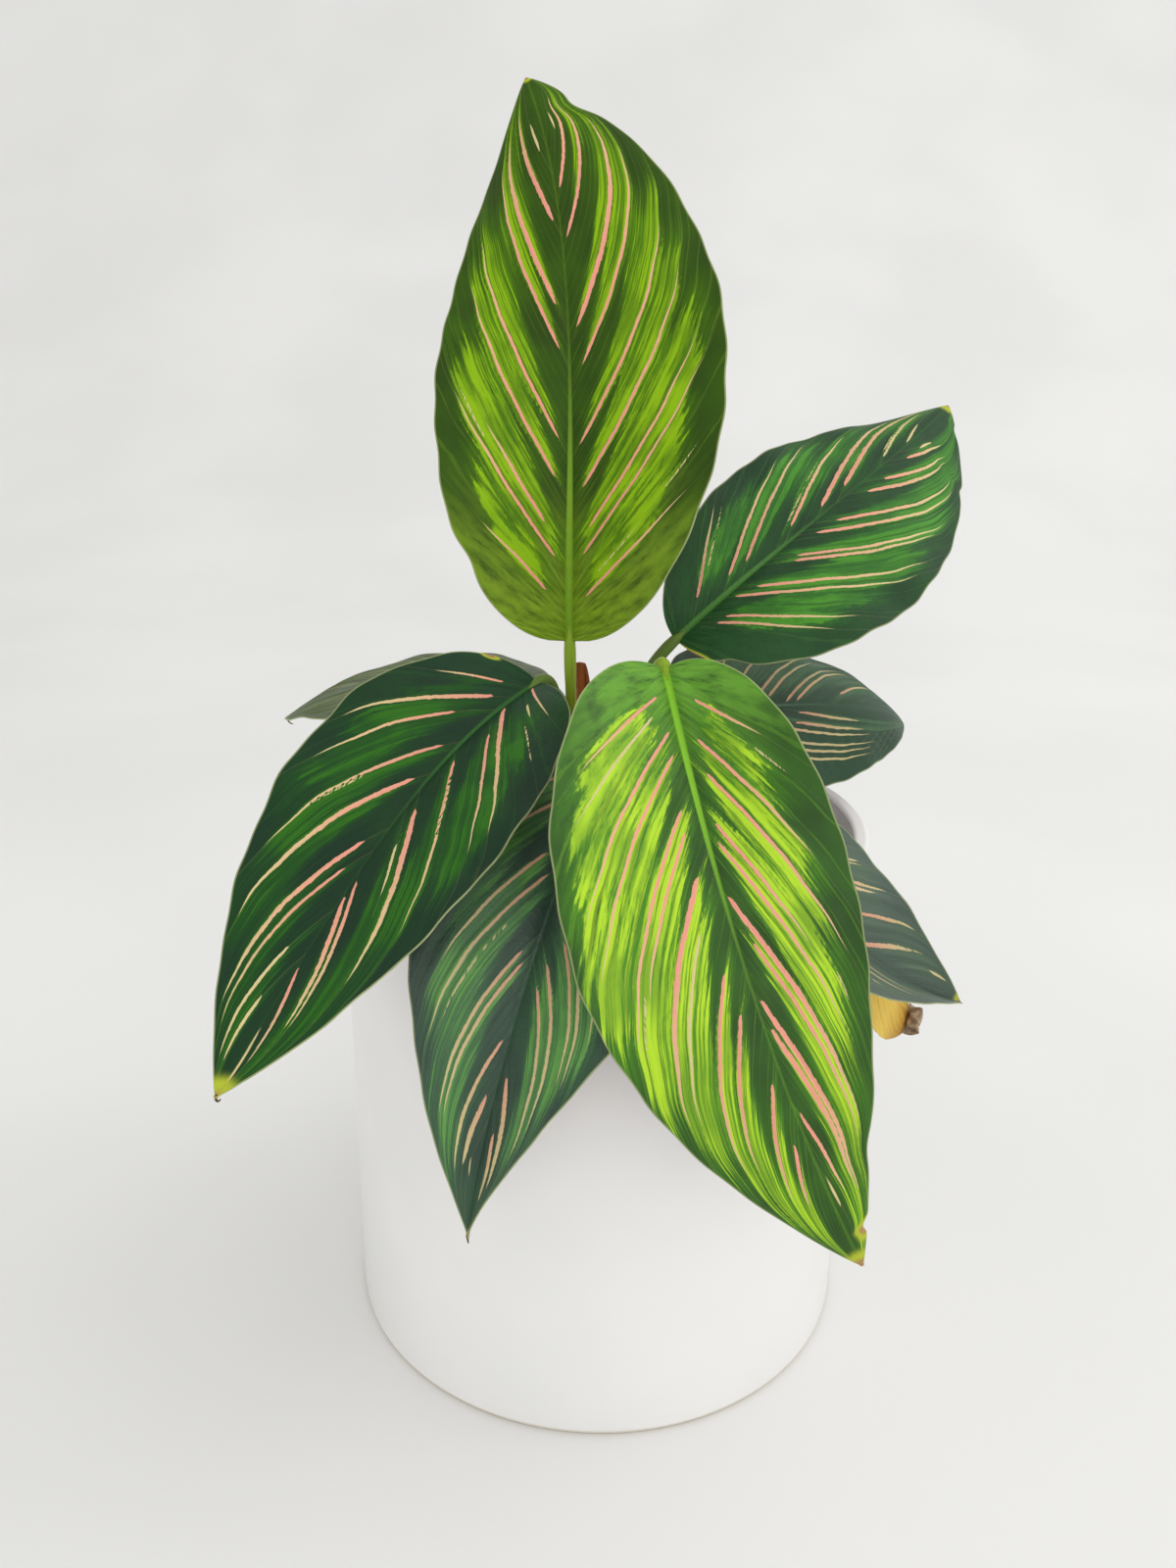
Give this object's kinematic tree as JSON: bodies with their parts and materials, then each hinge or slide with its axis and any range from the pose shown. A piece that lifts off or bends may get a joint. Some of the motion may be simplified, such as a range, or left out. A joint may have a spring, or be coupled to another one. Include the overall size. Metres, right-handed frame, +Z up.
{
  "type": "potted beauty star calathea",
  "caption": "Prayer plant with pink-striped green leaves on slender stems, standing in soil in a plain straight white pot.",
  "frame": {"origin": "centre of the pot's underside", "axes": "+Z up, -Y towards the front of the plant, +X to its right seen from the front"},
  "size_m": [0.2183, 0.2167, 0.3732],
  "materials": {
    "pot_glaze": "smooth satin white glaze",
    "soil": "dark crumbly potting soil",
    "stem": "satin olive-green stem",
    "leaf_bright": "satin leaf, bright green zones and pink stripes over dark green, burgundy underside",
    "leaf_dark": "satin leaf, dark green with pink and cream stripes, burgundy underside",
    "withered": "dry yellow-brown leaf",
    "dry_sheath": "dry papery brown sheath"
  },
  "bodies": {
    "root": {"pot": "pot_glaze", "soil": "soil", "stem_top": "stem", "blade_top": "leaf_bright", "stem_right": "stem", "blade_right": "leaf_dark", "stem_left": "stem", "blade_left": "leaf_dark", "stem_front": "stem", "blade_front": "leaf_bright", "stem_front_left": "stem", "blade_front_left": "leaf_dark", "stem_back_left": "stem", "blade_back_left": "leaf_dark", "stem_back_right": "stem", "blade_back_right": "leaf_dark", "stem_low_right": "stem", "blade_low_right": "leaf_dark", "stem_withered": "withered", "blade_withered": "withered", "sheath_dry": "dry_sheath"}
  },
  "joints": []
}
